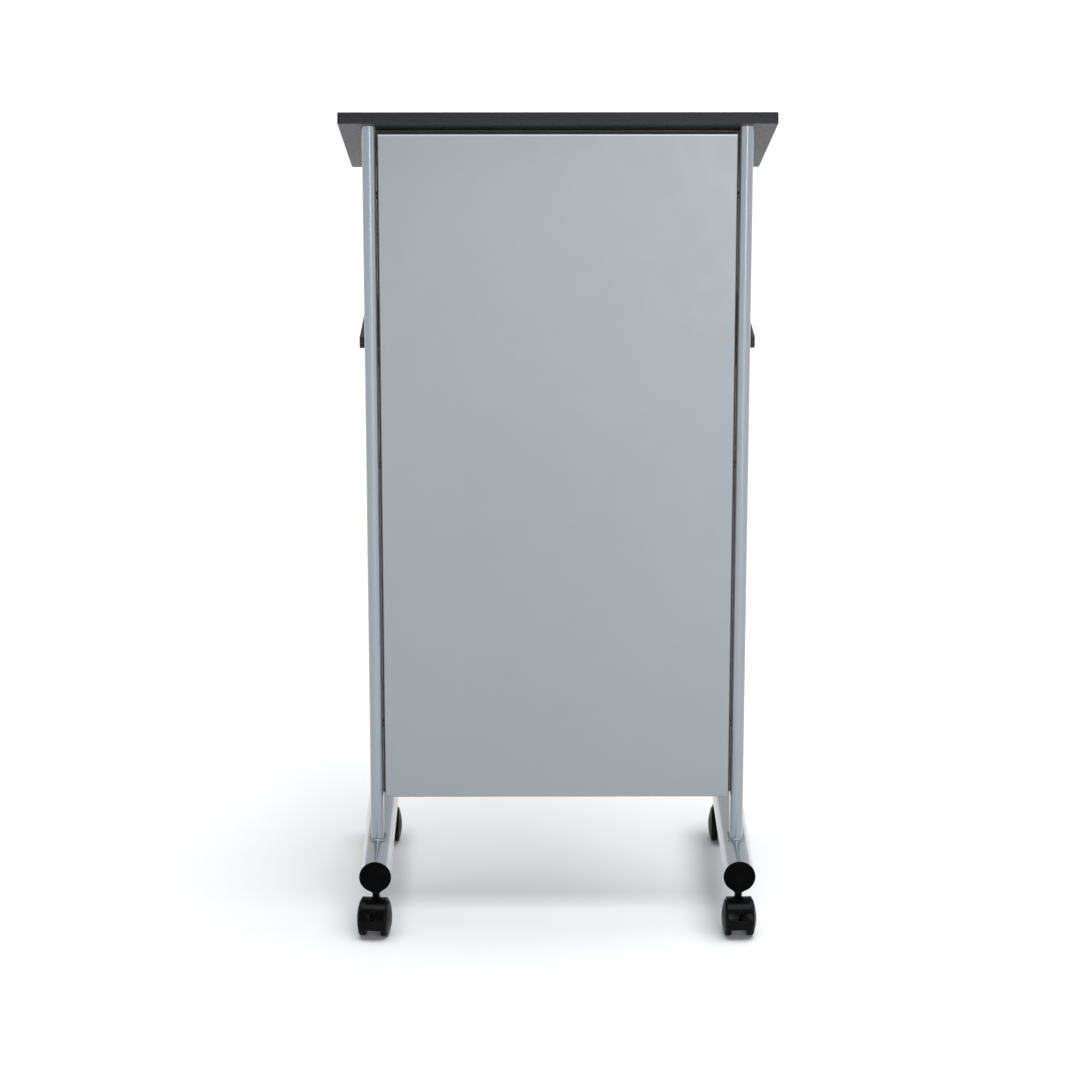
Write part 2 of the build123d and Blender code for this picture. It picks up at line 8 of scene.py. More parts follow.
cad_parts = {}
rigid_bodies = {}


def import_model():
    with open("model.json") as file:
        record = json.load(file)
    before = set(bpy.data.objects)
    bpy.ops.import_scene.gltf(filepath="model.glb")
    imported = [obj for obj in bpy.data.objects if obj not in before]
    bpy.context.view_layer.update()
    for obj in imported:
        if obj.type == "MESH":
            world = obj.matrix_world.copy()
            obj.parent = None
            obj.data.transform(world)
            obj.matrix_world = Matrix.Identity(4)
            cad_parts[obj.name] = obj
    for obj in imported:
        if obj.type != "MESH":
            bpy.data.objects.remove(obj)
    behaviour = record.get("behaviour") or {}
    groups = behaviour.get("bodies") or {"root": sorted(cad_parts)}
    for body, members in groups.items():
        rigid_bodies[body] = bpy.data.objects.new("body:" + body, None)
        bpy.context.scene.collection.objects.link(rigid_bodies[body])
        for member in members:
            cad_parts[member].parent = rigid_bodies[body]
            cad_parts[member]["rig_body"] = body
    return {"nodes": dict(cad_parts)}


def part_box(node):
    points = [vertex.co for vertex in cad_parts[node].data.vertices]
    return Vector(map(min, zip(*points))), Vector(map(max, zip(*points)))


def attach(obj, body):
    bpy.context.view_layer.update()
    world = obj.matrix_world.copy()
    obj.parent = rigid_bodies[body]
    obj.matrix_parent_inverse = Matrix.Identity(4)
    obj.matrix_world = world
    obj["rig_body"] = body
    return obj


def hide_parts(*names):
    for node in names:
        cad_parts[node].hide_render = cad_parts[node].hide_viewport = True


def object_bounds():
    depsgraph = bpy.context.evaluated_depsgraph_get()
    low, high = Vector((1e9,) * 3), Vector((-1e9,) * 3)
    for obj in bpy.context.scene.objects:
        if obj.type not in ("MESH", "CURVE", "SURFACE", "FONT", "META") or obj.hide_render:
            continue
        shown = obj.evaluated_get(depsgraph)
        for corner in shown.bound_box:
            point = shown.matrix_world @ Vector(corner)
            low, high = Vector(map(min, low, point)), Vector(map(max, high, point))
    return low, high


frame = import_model()
cad_low, cad_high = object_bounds()
slot_of = {name: node.data.materials[0].name for name, node in frame["nodes"].items()}

# A rolling lectern with its panelled front towards -Y. Metres, +Z up, the row frame.

# Camera
CAMERA_ASIDE = -0.043
CAMERA_DISTANCE = 5.129
CAMERA_HEIGHT = 1.985
CAMERA_PITCH = 15.81
CAMERA_YAW = 0.21
CAMERA_LENS = 120.8
CAMERA_SENSOR = 36.0
CAMERA_REACH = 200.0

# Studio. The backdrop fills the sky behind the object, between these parts of a unit direction's Y and Z.
FLOOR_SIZE = 60.0
FLOOR_CELLS = 8
SKY_COLOUR = (0.97, 0.985, 1.0)
SKY_STRENGTH = 0.32
BACKDROP_STRENGTH = 0.62
BACKDROP_BEHIND = (0.55, 0.85)
BACKDROP_LOW = (0.62, 0.45)
OVERHEAD_STRENGTH = 2.75
OVERHEAD_SPREAD = 54.0
OVERHEAD_LEAN = (0.0, 8.0, 0.0)

# Softboxes: width and height, power and place
FRONT_SOFTBOX = ((3.0, 2.4), 60.0, (1.5, -5.4, 2.2))
STRIP_SOFTBOX = ((0.35, 2.2), 14.0, (0.75, -3.6, 1.3))

# Screws: head radius, head height, shank radius and length
TOP_SCREW = (0.0042, 0.0026, 0.0020, 0.042)
SHELF_SCREW = (0.0042, 0.0026, 0.0020, 0.037)
STOP_SCREW = (0.0042, 0.0026, 0.0020, 0.026)
PANEL_SCREW = (0.0048, 0.0030, 0.0025, 0.010)
SCREW_RINGS = 9
SCREW_SPOKES = 48
DOME_FALL = 0.28
RIM_FALL = 0.35
RIM_POWER = 8
CROSS_REACH = 0.55
CROSS_HALF_WIDTH = 0.13
CROSS_DEPTH = 0.55
CROSS_TAPER = 0.55
TIP_HEIGHT = 0.0004
TIP_WIDTH = 0.7

# Cap in the end of a base tube: radius and height of each point from the middle of its face to its plug
CAP_PROFILE = (
    (0.0, 0.0024), (0.0165, 0.00225), (0.0182, 0.0021), (0.0190, 0.0019), (0.0196, 0.0022),
    (0.0202, 0.0028), (0.0208, 0.0030), (0.0216, 0.0030), (0.0223, 0.0027), (0.02275, 0.0022),
    (0.0230, 0.0015), (0.0230, 0.0002), (0.0228, 0.0), (0.0201, 0.0), (0.0199, -0.0118),
    (0.0197, -0.0120), (0.0182, -0.0120), (0.0180, -0.0118), (0.0180, 0.0003), (0.0, 0.0003),
)
CAP_SPOKES = 96
CAP_FLANGE = 0.003

# Downward normal of the tilted board and how fast it falls towards the rear
BOARD_DOWN = (0.0, -0.309017, -0.951057)
BOARD_FALL = 0.32492

# Tubes
POST_WIDTH = 0.019
POST_DEPTH = 0.038
TUBE_RADIUS = 0.02225
TUBE_HEIGHT = 0.092

# Weld beads: each ripple swells by the lap where it starts, and slow waves (size, rate) vary the width
BEAD_SPOKES = 12
BEAD_RIPPLE = 0.0021
BEAD_LAP = 0.16
BEAD_WAVES = ((0.07, 410.0), (0.05, 173.0))
FOOT_BEAD_RADIUS = 0.0022
FOOT_BEAD_OUT = 0.35
FOOT_BEAD_UP = 0.2
FOOT_BEAD_STEPS = 260
ARM_BEAD_RADIUS = 0.0014
ARM_BEAD_STEPS = 24
ARM_BEAD_GAP = 0.0002
ARM_BEAD_DROP = 0.001
ARM_BEAD_BACK = 0.0064
ARM_BEAD_LENGTHS = {"shelf_arm": 0.025, "top_arm": 0.0315}

# Edge radius of moulded and banded pieces, by the end of their name
EDGE_ROUNDS = {"_hood": 0.0004, "_brake_lever": 0.0004, "_arm_cap": 0.0005, "_edge_band": 0.0007}

# Mesh angles in degrees: faces flatter than the first join, edges sharper than the second are rounded,
# and edges sharper than a piece's own angle shade sharp
FLAT_ANGLE = 0.5
CORNER_ANGLE = 35.0
SCREW_SHARP = 50.0
CAP_SHARP = 30.0
BEAD_SHARP = 80.0
MOULDED_SHARP = 32.0
MERGE_DISTANCE = 1e-6
RIM_TOLERANCE = 1e-5
AXIS_RADIUS = 1e-7
NEARLY_PARALLEL = 0.9

# Front panel: a painted highlight along its top fold, and painted shade on its side lips in the narrow gaps
# beside the posts
FOLD_HEIGHT = 0.0031
LIP_WIDTH = 0.0027
FADE = 0.0004

# Cosine between true and rounded normal: flat above the first, edge below the second
EDGE_COSINES = (0.985, 0.90)

# Colours, linear
CHARCOAL = (0.019, 0.019, 0.021)
CHARCOAL_PALE = (0.042, 0.042, 0.045)
CHARCOAL_DARK = (0.009, 0.009, 0.010)
PANEL_SILVER = (0.303, 0.332, 0.352)
PANEL_DARK = (0.258, 0.285, 0.305)
# painted highlight: the pale colour of the panel's top fold
FOLD_PAINTED_HIGHLIGHT = (0.49, 0.52, 0.55)
# painted shade: the dark colour of the panel's side lips in the gaps
GAP_PAINTED_SHADE = (0.045, 0.050, 0.056)
TUBE_SILVER = (0.290, 0.322, 0.358)
TUBE_DARK = (0.235, 0.265, 0.300)
BLACK = (0.0016, 0.0016, 0.0018)
BLACK_SCUFFED = (0.009, 0.009, 0.010)
ZINC = (0.55, 0.56, 0.58)
ZINC_YELLOW = (0.52, 0.50, 0.44)
ZINC_DULL = (0.060, 0.062, 0.066)
STEEL_BLACK = (0.008, 0.008, 0.009)
DUST = (0.014, 0.0135, 0.013)
FLOOR_GREY = (0.93, 0.93, 0.94)
FLOOR_WHITE = (0.96, 0.96, 0.965)
WHITE = (1.0, 1.0, 1.0)


# Shader building blocks

def new_material(name, **sockets):
    """A material with a Principled shader whose named sockets are set."""
    material = bpy.data.materials.new(name)
    material.use_nodes = True
    tree = material.node_tree
    shader = next(n for n in tree.nodes if n.type == "BSDF_PRINCIPLED")
    for socket, value in sockets.items():
        shader.inputs[socket.replace("_", " ")].default_value = value
    return material, tree, shader


def rgba(colour):
    return (*colour, 1.0)


def tinted(colour, factor):
    return [channel * factor for channel in colour]


def connect(tree, socket, value):
    """Links a socket to another, or sets it to a number or a colour."""
    if isinstance(value, bpy.types.NodeSocket):
        tree.links.new(value, socket)
    else:
        socket.default_value = value


def place(tree, stretch=(1.0, 1.0, 1.0), turn=(0.0, 0.0, 0.0)):
    """Coordinates on the object, or the direction in the sky, scaled and turned."""
    coordinates = tree.nodes.new("ShaderNodeTexCoord")
    mapping = tree.nodes.new("ShaderNodeMapping")
    mapping.inputs["Scale"].default_value = stretch
    mapping.inputs["Rotation"].default_value = [math.radians(angle) for angle in turn]
    tree.links.new(coordinates.outputs["Object"], mapping.inputs["Vector"])
    return mapping.outputs["Vector"]


def axes(tree):
    """The three coordinates, apart."""
    node = tree.nodes.new("ShaderNodeSeparateXYZ")
    tree.links.new(place(tree), node.inputs[0])
    return node.outputs


def noise(tree, scale, detail=2.0, roughness=0.5, stretch=(1.0, 1.0, 1.0), turn=(0.0, 0.0, 0.0)):
    """Soft random pattern with the given number of features per metre."""
    texture = tree.nodes.new("ShaderNodeTexNoise")
    texture.inputs["Scale"].default_value = scale
    texture.inputs["Detail"].default_value = detail
    texture.inputs["Roughness"].default_value = roughness
    tree.links.new(place(tree, stretch, turn), texture.inputs["Vector"])
    return texture.outputs["Fac"]


def cells(tree, scale):
    """Random grey value for each small cell."""
    texture = tree.nodes.new("ShaderNodeTexVoronoi")
    texture.inputs["Scale"].default_value = scale
    tree.links.new(place(tree), texture.inputs["Vector"])
    return texture.outputs["Color"]


def spread(tree, value, low, high, to_low=0.0, to_high=1.0):
    """The part of value between low and high, stretched to a new range."""
    node = tree.nodes.new("ShaderNodeMapRange")
    node.inputs["From Min"].default_value = low
    node.inputs["From Max"].default_value = high
    node.inputs["To Min"].default_value = to_low
    node.inputs["To Max"].default_value = to_high
    tree.links.new(value, node.inputs["Value"])
    return node.outputs["Result"]


def combine(tree, operation, first, second=0.0):
    node = tree.nodes.new("ShaderNodeMath")
    node.operation = operation
    for socket, value in zip(node.inputs, (first, second)):
        connect(tree, socket, value)
    return node.outputs[0]


def multiply(tree, first, second):
    return combine(tree, "MULTIPLY", first, second)


def blend_colour(tree, factor, first, second):
    """A colour between two, by a factor. Each colour is three numbers or a socket."""
    node = tree.nodes.new("ShaderNodeMix")
    node.data_type = "RGBA"
    tree.links.new(factor, node.inputs["Factor"])
    for key, value in (("A", first), ("B", second)):
        socket = next(s for s in node.inputs if s.name == key and s.type == "RGBA")
        connect(tree, socket, value if isinstance(value, bpy.types.NodeSocket) else rgba(value))
    return next(s for s in node.outputs if s.type == "RGBA")


def bump(tree, height, depth, strength, under=None):
    """Relief of the given depth in metres."""
    node = tree.nodes.new("ShaderNodeBump")
    node.inputs["Strength"].default_value = strength
    node.inputs["Distance"].default_value = depth
    tree.links.new(height, node.inputs["Height"])
    if under is not None:
        tree.links.new(under, node.inputs["Normal"])
    return node.outputs["Normal"]


def edges(tree, radius):
    """1 on sharp edges and 0 on flats, from how a rounded normal differs from the true one."""
    rounded = tree.nodes.new("ShaderNodeBevel")
    rounded.inputs["Radius"].default_value = radius
    true = tree.nodes.new("ShaderNodeNewGeometry")
    dot = tree.nodes.new("ShaderNodeVectorMath")
    dot.operation = "DOT_PRODUCT"
    tree.links.new(rounded.outputs["Normal"], dot.inputs[0])
    tree.links.new(true.outputs["Normal"], dot.inputs[1])
    return spread(tree, dot.outputs["Value"], *EDGE_COSINES)


def worn_edges(tree, radius, scale, detail, low, high):
    """Patches of wear along sharp edges."""
    return multiply(tree, edges(tree, radius), spread(tree, noise(tree, scale, detail), low, high))


def dress(shader, tree, colour, roughness, normal=None):
    """Links colour, roughness and relief to the shader."""
    tree.links.new(colour, shader.inputs["Base Color"])
    tree.links.new(roughness, shader.inputs["Roughness"])
    if normal is not None:
        tree.links.new(normal, shader.inputs["Normal"])


# Materials

def laminate_material():
    """Charcoal laminate: fine light and dark flecks over a slow change of tone, pearl-textured surface."""
    material, tree, shader = new_material("charcoal_laminate_grain", Specular_IOR_Level=0.30)
    tone = spread(tree, noise(tree, scale=9.0, detail=3.0), low=0.35, high=0.65)
    fleck = spread(tree, noise(tree, scale=900.0), low=0.55, high=0.72)
    pit = spread(tree, noise(tree, scale=620.0, turn=(20.0, 40.0, 10.0)), low=0.60, high=0.75)
    base = blend_colour(tree, tone, CHARCOAL, tinted(CHARCOAL, 1.25))
    base = blend_colour(tree, fleck, base, CHARCOAL_PALE)
    base = blend_colour(tree, pit, base, CHARCOAL_DARK)
    gloss = spread(tree, noise(tree, scale=240.0, detail=3.0), low=0.3, high=0.7, to_low=0.40, to_high=0.56)
    relief = bump(tree, noise(tree, scale=1500.0, detail=1.0), depth=0.00008, strength=0.5)
    dress(shader, tree, base, gloss, relief)
    return material


def edge_band_material():
    """Charcoal plastic band: extrusion streaks along its length and rubbed, paler edges."""
    material, tree, shader = new_material("charcoal_band_grain", Specular_IOR_Level=0.22)
    streaks = noise(tree, scale=60.0, detail=3.0, stretch=(0.15, 1.0, 14.0))
    fleck = spread(tree, noise(tree, scale=1100.0), low=0.55, high=0.75)
    base = blend_colour(tree, spread(tree, streaks, low=0.35, high=0.65), CHARCOAL, tinted(CHARCOAL, 1.2))
    base = blend_colour(tree, fleck, base, CHARCOAL_PALE)
    wear = worn_edges(tree, radius=0.0009, scale=45.0, detail=3.0, low=0.45, high=0.65)
    base = blend_colour(tree, multiply(tree, wear, 0.5), base, CHARCOAL_PALE)
    gloss = spread(tree, streaks, low=0.3, high=0.7, to_low=0.34, to_high=0.46)
    dress(shader, tree, base, gloss, bump(tree, streaks, depth=0.00005, strength=0.5))
    return material


def silver_material(name, colour, dark, roughness, peel, coat, panel_corner=None):
    """Silver powder coat: metal flake under a satin film with orange peel, a little thin on sharp edges.

    With the panel's upper corner given, a painted highlight brightens its top fold and painted shade
    darkens its side lips.
    """
    material, tree, shader = new_material(
        name, Metallic=0.55, Coat_Weight=coat, Coat_Roughness=0.06, Specular_IOR_Level=0.5
    )
    flake = spread(tree, cells(tree, scale=2600.0), low=0.2, high=0.8)
    cloud = spread(tree, noise(tree, scale=2.2), low=0.35, high=0.65)
    base = blend_colour(tree, cloud, tinted(colour, 0.975), tinted(colour, 1.02))
    base = blend_colour(tree, multiply(tree, flake, 0.22), base, dark)
    wear = worn_edges(tree, radius=0.0010, scale=70.0, detail=4.0, low=0.52, high=0.66)
    base = blend_colour(tree, multiply(tree, wear, 0.45), base, ZINC)
    if panel_corner is not None:
        at = axes(tree)
        # painted highlight along the panel's top fold
        fold = panel_corner.z - FOLD_HEIGHT
        base = blend_colour(tree, spread(tree, at["Z"], fold, fold + FADE), base, FOLD_PAINTED_HIGHLIGHT)
        # painted shade on the side lips in the gaps beside the posts
        lip = panel_corner.x - LIP_WIDTH
        aside = combine(tree, "ABSOLUTE", at["X"])
        base = blend_colour(tree, spread(tree, aside, lip, lip + FADE), base, GAP_PAINTED_SHADE)
    sheen = noise(tree, scale=35.0, detail=4.0)
    gloss = spread(tree, sheen, low=0.3, high=0.7, to_low=roughness - 0.03, to_high=roughness + 0.03)
    orange_peel = bump(tree, noise(tree, scale=420.0, detail=1.5), depth=peel, strength=0.6)
    relief = bump(tree, flake, depth=0.00001, strength=0.25, under=orange_peel)
    dress(shader, tree, base, gloss, relief)
    return material


def plastic_material(name, roughness, shine, grain, grain_depth, scuffs):
    """Black moulded plastic: spark-eroded grain, changing gloss and a few pale rubs on its edges."""
    material, tree, shader = new_material(name, Specular_IOR_Level=shine)
    rubbed = worn_edges(tree, radius=0.0007, scale=160.0, detail=3.0, low=0.45, high=0.62)
    haze = multiply(tree, spread(tree, noise(tree, scale=70.0, detail=5.0), low=0.50, high=0.75), scuffs)
    base = blend_colour(tree, haze, BLACK, BLACK_SCUFFED)
    base = blend_colour(tree, multiply(tree, rubbed, 0.6), base, BLACK_SCUFFED)
    sheen = noise(tree, scale=110.0, detail=4.0)
    gloss = spread(tree, sheen, low=0.3, high=0.7, to_low=roughness - 0.05, to_high=roughness + 0.07)
    dress(shader, tree, base, gloss, bump(tree, noise(tree, grain), grain_depth, strength=0.6))
    return material


def wheel_material():
    """Black nylon wheel: turned side, matt tread with floor dust worked into it."""
    material, tree, shader = new_material("wheel_nylon_worn", Specular_IOR_Level=0.07)
    dust = spread(tree, noise(tree, scale=55.0, detail=6.0, roughness=0.6), low=0.48, high=0.72)
    dusty = multiply(tree, dust, edges(tree, radius=0.0020))
    base = blend_colour(tree, multiply(tree, dusty, 0.5), BLACK, DUST)
    base = blend_colour(tree, multiply(tree, dust, 0.12), base, DUST)
    gloss = spread(tree, noise(tree, scale=90.0, detail=4.0), low=0.3, high=0.7, to_low=0.28, to_high=0.44)
    dress(shader, tree, base, gloss, bump(tree, noise(tree, scale=1300.0), depth=0.00005, strength=0.4))
    return material


def zinc_material(name, bright, patch):
    """Zinc plating: fine spangle and patches of another tone."""
    material, tree, shader = new_material(name, Metallic=1.0)
    spangle = cells(tree, scale=1500.0)
    patches = spread(tree, noise(tree, scale=120.0, detail=3.0), low=0.4, high=0.7)
    base = blend_colour(tree, patches, bright, patch)
    gloss = spread(tree, spangle, low=0.0, high=1.0, to_low=0.24, to_high=0.38)
    dress(shader, tree, base, gloss, bump(tree, spangle, depth=0.00003, strength=0.4))
    return material


def black_steel_material():
    """Black oxide steel: oily film, bare metal showing on the edges."""
    material, tree, shader = new_material("black_oxide_steel", Metallic=0.7)
    film = spread(tree, noise(tree, scale=130.0, detail=4.0), low=0.35, high=0.7)
    base = blend_colour(tree, film, STEEL_BLACK, tinted(STEEL_BLACK, 1.9))
    wear = worn_edges(tree, radius=0.0006, scale=200.0, detail=3.0, low=0.48, high=0.62)
    base = blend_colour(tree, multiply(tree, wear, 0.55), base, ZINC)
    gloss = spread(tree, film, low=0.0, high=1.0, to_low=0.30, to_high=0.45)
    dress(shader, tree, base, gloss, bump(tree, noise(tree, scale=900.0), depth=0.00003, strength=0.4))
    return material


def floor_material():
    """Pale studio floor with a trace of paper grain."""
    material, tree, shader = new_material("studio_floor", Specular_IOR_Level=0.2)
    cloud = spread(tree, noise(tree, scale=3.0), low=0.3, high=0.7)
    tone = blend_colour(tree, cloud, FLOOR_GREY, FLOOR_WHITE)
    gloss = spread(tree, noise(tree, scale=12.0), low=0.3, high=0.7, to_low=0.55, to_high=0.65)
    dress(shader, tree, tone, gloss)
    return material


MATERIALS = {
    "charcoal_laminate": laminate_material(),
    "charcoal_edge_band": edge_band_material(),
    "silver_panel": silver_material(
        "silver_panel_coat", PANEL_SILVER, PANEL_DARK,
        roughness=0.40, peel=0.00005, coat=0.20, panel_corner=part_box("front_panel")[1],
    ),
    "silver_powder_coat": silver_material(
        "silver_tube_coat", TUBE_SILVER, TUBE_DARK, roughness=0.17, peel=0.00002, coat=0.60
    ),
    "black_plastic": plastic_material(
        "black_cap_plastic", roughness=0.50, shine=0.02, grain=1400.0, grain_depth=0.00006, scuffs=0.3
    ),
    "black_nylon": plastic_material(
        "black_hood_nylon", roughness=0.22, shine=0.07, grain=1800.0, grain_depth=0.00003, scuffs=0.2
    ),
    "wheel_nylon": wheel_material(),
    "black_steel": black_steel_material(),
    "zinc_steel": zinc_material("zinc_plate", ZINC, ZINC_YELLOW),
}
DULL_ZINC = zinc_material("dull_zinc_plate", ZINC_DULL, tinted(ZINC_DULL, 0.8))


def body_of(node):
    return frame["nodes"][node]["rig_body"]


def paint(piece, slot):
    piece.data.materials.clear()
    piece.data.materials.append(MATERIALS[slot])


# Mesh building blocks

def finish_piece(bm, name, slot, body, sharp_angle, replaced=()):
    """Turns a mesh under construction into a painted piece that rides on a body."""
    bmesh.ops.recalc_face_normals(bm, faces=bm.faces)
    mesh = bpy.data.meshes.new(name)
    bm.to_mesh(mesh)
    bm.free()
    mesh.shade_smooth()
    mesh.set_sharp_from_angle(angle=math.radians(sharp_angle))
    piece = bpy.data.objects.new(name, mesh)
    bpy.context.scene.collection.objects.link(piece)
    paint(piece, slot)
    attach(piece, body)
    if replaced:
        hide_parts(*replaced)
    return piece


def frame_at(origin, forward):
    """Matrix whose local Z runs along forward."""
    z = Vector(forward).normalized()
    side = Vector((1.0, 0.0, 0.0))
    if abs(side.dot(z)) > NEARLY_PARALLEL:
        side = Vector((0.0, 0.0, 1.0))
    x = (side - z * side.dot(z)).normalized()
    y = z.cross(x)
    return Matrix.Translation(Vector(origin)) @ Matrix((x, y, z)).transposed().to_4x4()


def turns(count):
    """Angles that divide a circle evenly."""
    return [2.0 * math.pi * i / count for i in range(count)]


def ring(bm, matrix, radius, height, spokes):
    """Circle of vertices about local Z, or one vertex on the axis."""
    if radius < AXIS_RADIUS:
        return [bm.verts.new(matrix @ Vector((0.0, 0.0, height)))]
    points = [Vector((radius * math.cos(turn), radius * math.sin(turn), height)) for turn in turns(spokes)]
    return [bm.verts.new(matrix @ point) for point in points]


def bridge(bm, first, second):
    """Faces between two rings; either may be a single vertex."""
    count = max(len(first), len(second))
    for i in range(count):
        j = (i + 1) % count
        corners = [
            first[i % len(first)],
            first[j % len(first)],
            second[j % len(second)],
            second[i % len(second)],
        ]
        unique = list(dict.fromkeys(corners))
        if len(unique) > 2:
            bm.faces.new(unique)


def bridge_all(bm, rings):
    for first, second in zip(rings, rings[1:]):
        bridge(bm, first, second)


def welded_mesh(node):
    """A CAD node's mesh with its doubled vertices merged."""
    bm = bmesh.new()
    bm.from_mesh(frame["nodes"][node].data)
    bmesh.ops.remove_doubles(bm, verts=bm.verts, dist=MERGE_DISTANCE)
    return bm


def centre_of(points):
    low = Vector([min(p[i] for p in points) for i in range(3)])
    high = Vector([max(p[i] for p in points) for i in range(3)])
    return (low + high) / 2


def islands(node):
    """The points of each separate solid in a CAD node."""
    bm = welded_mesh(node)
    waiting = set(bm.verts)
    groups = []
    while waiting:
        group, reached = set(), [waiting.pop()]
        while reached:
            vertex = reached.pop()
            group.add(vertex)
            for edge in vertex.link_edges:
                other = edge.other_vert(vertex)
                if other in waiting:
                    waiting.discard(other)
                    reached.append(other)
        groups.append([v.co.copy() for v in group])
    bm.free()
    return sorted(groups, key=lambda points: tuple(round(c, 4) for c in centre_of(points)))


def softened(node, width):
    """A CAD node's shape with its sharp edges rounded."""
    bm = welded_mesh(node)
    bmesh.ops.dissolve_limit(bm, angle_limit=math.radians(FLAT_ANGLE), verts=bm.verts, edges=bm.edges)
    corner = math.radians(CORNER_ANGLE)
    sharp = [e for e in bm.edges if len(e.link_faces) == 2 and e.calc_face_angle() > corner]
    bmesh.ops.bevel(
        bm, geom=sharp, offset=width, segments=2, profile=0.5, affect="EDGES", clamp_overlap=True
    )
    return bm


# Pieces

def screw(bm, matrix, head_radius, head_height, shank_radius, shank_length):
    """Pan head with a cross recess above local Z 0 and a shank below it."""
    middle = head_height * (1.0 - CROSS_DEPTH)
    rings = [ring(bm, matrix, 0.0, middle, SCREW_SPOKES)]
    for step in range(1, SCREW_RINGS + 1):
        share = step / SCREW_RINGS
        height = head_height * (1.0 - DOME_FALL * share ** 2 - RIM_FALL * share ** RIM_POWER)
        circle = ring(bm, matrix, head_radius * share, height, SCREW_SPOKES)
        for turn, vertex in zip(turns(SCREW_SPOKES), circle):
            off_arm = share * min(abs(math.cos(turn)), abs(math.sin(turn)))
            if off_arm < CROSS_HALF_WIDTH and share < CROSS_REACH:
                fall = CROSS_DEPTH * (1.0 - CROSS_TAPER * share / CROSS_REACH)
                vertex.co -= matrix.to_3x3() @ Vector((0.0, 0.0, fall * head_height))
        rings.append(circle)
    below = (
        (head_radius, 0.0),
        (shank_radius, 0.0),
        (shank_radius, TIP_HEIGHT - shank_length),
        (shank_radius * TIP_WIDTH, -shank_length),
        (0.0, -shank_length),
    )
    rings += [ring(bm, matrix, radius, height, SCREW_SPOKES) for radius, height in below]
    bridge_all(bm, rings)


def screw_group(node, size, outward):
    """Screws at the places of a CAD node's screws; outward(centre) is the way their heads face."""
    bm = bmesh.new()
    head_height = size[1]
    for points in islands(node):
        way = Vector(outward(centre_of(points))).normalized()
        top = max(points, key=lambda p: p.dot(way))
        rim = [p for p in points if (top - p).dot(way) < RIM_TOLERANCE]
        seat = centre_of(rim) - way * head_height
        screw(bm, frame_at(seat, way), *size)
    finish_piece(bm, node + "_detailed", slot_of[node], body_of(node), SCREW_SHARP, [node])


def all_screws():
    screw_group("top_screws", TOP_SCREW, lambda centre: BOARD_DOWN)
    screw_group("stop_screws", STOP_SCREW, lambda centre: BOARD_DOWN)
    screw_group("shelf_screws", SHELF_SCREW, lambda centre: (0.0, 0.0, -1.0))
    screw_group("panel_screws", PANEL_SCREW, lambda centre: (-centre.x, 0.0, 0.0))


def tube_caps():
    """Dished caps with a raised rim and a hollow plug, in the ends of the base tubes."""
    for node in sorted(frame["nodes"]):
        if node.endswith("_tube_cap"):
            low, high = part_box(node)
            front = "front" in node
            face_y = low.y + CAP_FLANGE if front else high.y - CAP_FLANGE
            centre = ((low.x + high.x) / 2, face_y, (low.z + high.z) / 2)
            matrix = frame_at(centre, (0.0, -1.0 if front else 1.0, 0.0))
            bm = bmesh.new()
            bridge_all(bm, [ring(bm, matrix, radius, height, CAP_SPOKES) for radius, height in CAP_PROFILE])
            finish_piece(bm, node + "_moulded", "black_plastic", "frame", CAP_SHARP, [node])


def bead(bm, path, normals, radius, closed):
    """Weld bead along a path: a round ridge whose width swells with each overlapping ripple."""
    rings, travelled = [], 0.0
    for i, point in enumerate(path):
        after = path[(i + 1) % len(path)] if closed or i + 1 < len(path) else point
        before = path[i - 1] if closed or i else point
        along = (after - before).normalized()
        if i:
            travelled += (point - path[i - 1]).length
        phase = (travelled / BEAD_RIPPLE) % 1.0
        waves = sum(size * math.sin(travelled * rate) for size, rate in BEAD_WAVES)
        reach = radius * (1.0 + BEAD_LAP * (1.0 - phase) ** 2 + waves)
        up = (normals[i] - along * normals[i].dot(along)).normalized()
        side = along.cross(up)
        spots = [point + (up * math.cos(t) + side * math.sin(t)) * reach for t in turns(BEAD_SPOKES)]
        rings.append([bm.verts.new(spot) for spot in spots])
    bridge_all(bm, rings)
    if closed:
        bridge(bm, rings[-1], rings[0])
    else:
        for end in (rings[0], rings[-1]):
            bm.faces.new(end)


def oval(x, y, width, depth, steps):
    """Points and outward directions round a flat-oval post."""
    half, straight = width / 2, (depth - width) / 2
    side, arc = 2.0 * straight, math.pi * half
    places = []
    for i in range(steps):
        run = 2.0 * (side + arc) * i / steps
        way = 1.0 if run < side + arc else -1.0
        run %= side + arc
        if run < side:
            out = Vector((way, 0.0, 0.0))
            place_on = out * half + Vector((0.0, way * (run - straight), 0.0))
        else:
            turn = (run - side) / half
            out = Vector((math.cos(turn), math.sin(turn), 0.0)) * way
            place_on = out * half + Vector((0.0, way * straight, 0.0))
        places.append((place_on + Vector((x, y, 0.0)), out))
    return places


def foot_welds():
    """Bead round the foot of each post, where it is coped over its base tube."""
    bm = bmesh.new()
    for side in ("left", "right"):
        low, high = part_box(side + "_post")
        x, y = (low.x + high.x) / 2, (low.y + high.y) / 2
        path, normals = [], []
        for spot, out in oval(x, y, POST_WIDTH, POST_DEPTH, FOOT_BEAD_STEPS):
            spot += out * FOOT_BEAD_RADIUS * FOOT_BEAD_OUT
            rise = math.sqrt(TUBE_RADIUS ** 2 - (spot.x - x) ** 2)
            spot.z = TUBE_HEIGHT + rise + FOOT_BEAD_RADIUS * FOOT_BEAD_UP
            path.append(spot)
            normals.append((out + Vector((0.0, 0.0, 1.0))).normalized())
        bead(bm, path, normals, FOOT_BEAD_RADIUS, True)
    finish_piece(bm, "post_weld_beads", "silver_powder_coat", "frame", BEAD_SHARP, ["post_welds"])


